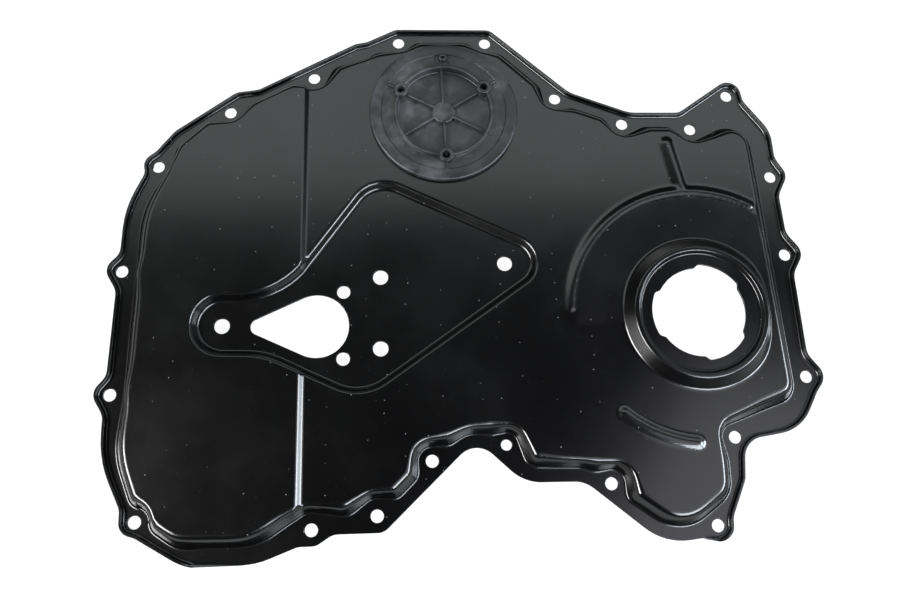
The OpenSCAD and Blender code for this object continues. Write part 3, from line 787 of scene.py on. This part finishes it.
def accessPlug(material):
    bm = bmesh.new()
    plugBody(bm)
    bmesh.ops.recalc_face_normals(bm, faces=bm.faces[:])
    cutBosses(bm)
    addHub(bm)
    addRibs(bm)
    addPip(bm)
    addLugs(bm)
    bmesh.ops.holes_fill(bm, edges=[e for e in bm.edges if e.is_boundary], sides=0)
    bmesh.ops.recalc_face_normals(bm, faces=bm.faces[:])
    bmesh.ops.translate(bm, verts=bm.verts[:], vec=Vector((plug["centre"][0], plug["centre"][1], 0)) * mm)
    piece = toObject(bm, "accessPlug", material)
    piece.data.set_sharp_from_angle(angle=math.radians(plug["sharp"]))
    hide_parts("access_plug")
    print("plug done")


stage = dict(floorHalf=3.0, floorDrop=0.3, pale=((0.12, 0.12, 0.12, 1), (0.13, 0.13, 0.13, 1)), rough=0.8,
             glow=0.92, glowInPaint=0.3)


def paleFloor():
    material, tree, shader, where = newMaterial("paleFloor")
    cloud = noise(tree, where, 3.0, 2.0)
    tree.links.new(mixColour(tree, cloud, *stage["pale"]), shader.inputs["Base Color"])
    shader.inputs["Roughness"].default_value = stage["rough"]
    shader.inputs["Emission Color"].default_value = (1, 1, 1, 1)
    # lit from behind for the camera, and dimmer where the black paint mirrors it
    seen = node(tree, "ShaderNodeLightPath", {}).outputs["Is Camera Ray"]
    glow = ramp(tree, seen, 0.0, 1.0, stage["glowInPaint"], stage["glow"])
    tree.links.new(glow, shader.inputs["Emission Strength"])
    return material


def layFloor(material):
    bm = bmesh.new()
    bmesh.ops.create_grid(bm, x_segments=1, y_segments=1, size=stage["floorHalf"],
                          matrix=Matrix.Translation((0, 0, -stage["floorDrop"] * mm)))
    mesh = bpy.data.meshes.new("floor")
    bm.to_mesh(mesh)
    bm.free()
    floor = bpy.data.objects.new("floor", mesh)
    bpy.context.collection.objects.link(floor)
    floor.data.materials.append(material)


# softboxes, in metres and watts, all turned to the same spot
lights = dict(
    north=dict(place=(-0.14, 0.86, 1.3), size=(3.8, 0.545), power=9.8, tint=(0.94, 1, 1)),
    west=dict(place=(-1.24, -0.37, 1.09), size=(0.9, 0.45), power=40.0, tint=(1, 1, 1)),
    westWide=dict(place=(-1.3, -0.35, 1.1), size=(1.6, 1.1), power=3.0, tint=(1, 1, 1)),
    east=dict(place=(1.14, -0.15, 0.94), size=(0.92, 0.34), power=26.0, tint=(0.86, 0.93, 1)),
    eastWide=dict(place=(0.66, -0.45, 1.27), size=(1.15, 1.15), power=7.0, tint=(0.92, 0.92, 1)),
    south=dict(place=(0.4, -0.75, 0.8), size=(0.7, 0.4), power=14.0, tint=(0.88, 0.94, 1)))
room = dict(low=0.9, high=0.015, levels=(0.03, 0.2), tint=(0.97, 0.98, 1, 1), aim=(-0.14, 0.04, 0.0))


def hangLights():
    for name, plan in lights.items():
        data = bpy.data.lights.new(name, "AREA")
        data.shape = "RECTANGLE"
        data.size, data.size_y = plan["size"]
        data.energy = plan["power"]
        data.color = plan["tint"]
        lamp = bpy.data.objects.new(name, data)
        bpy.context.collection.objects.link(lamp)
        place = Vector(plan["place"])
        turn = (Vector(room["aim"]) - place).to_track_quat("-Z", "Y").to_matrix().to_4x4()
        lamp.matrix_world = Matrix.Translation(place) @ turn
    print("lights hung")


def paintRoom():
    # pale walls all round that darken towards the ceiling
    world = bpy.data.worlds.new("room")
    world.use_nodes = True
    tree = world.node_tree
    way = tree.nodes.new("ShaderNodeTexCoord").outputs["Generated"]
    up = node(tree, "ShaderNodeSeparateXYZ", {"Vector": way}).outputs["Z"]
    level = ramp(tree, up, room["levels"][0], room["levels"][1], room["low"], room["high"])
    tree.links.new(level, tree.nodes["Background"].inputs["Strength"])
    tree.nodes["Background"].inputs["Color"].default_value = room["tint"]
    bpy.context.scene.world = world


placeCamera()
pressedSheet(blackPaint())
accessPlug(greyPlastic())
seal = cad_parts["plug_seal"]
seal.data.materials.clear()
seal.data.materials.append(sealRubber())
layFloor(paleFloor())
hangLights()
paintRoom()
bpy.context.scene.view_settings.view_transform = "Standard"
print("scene done")
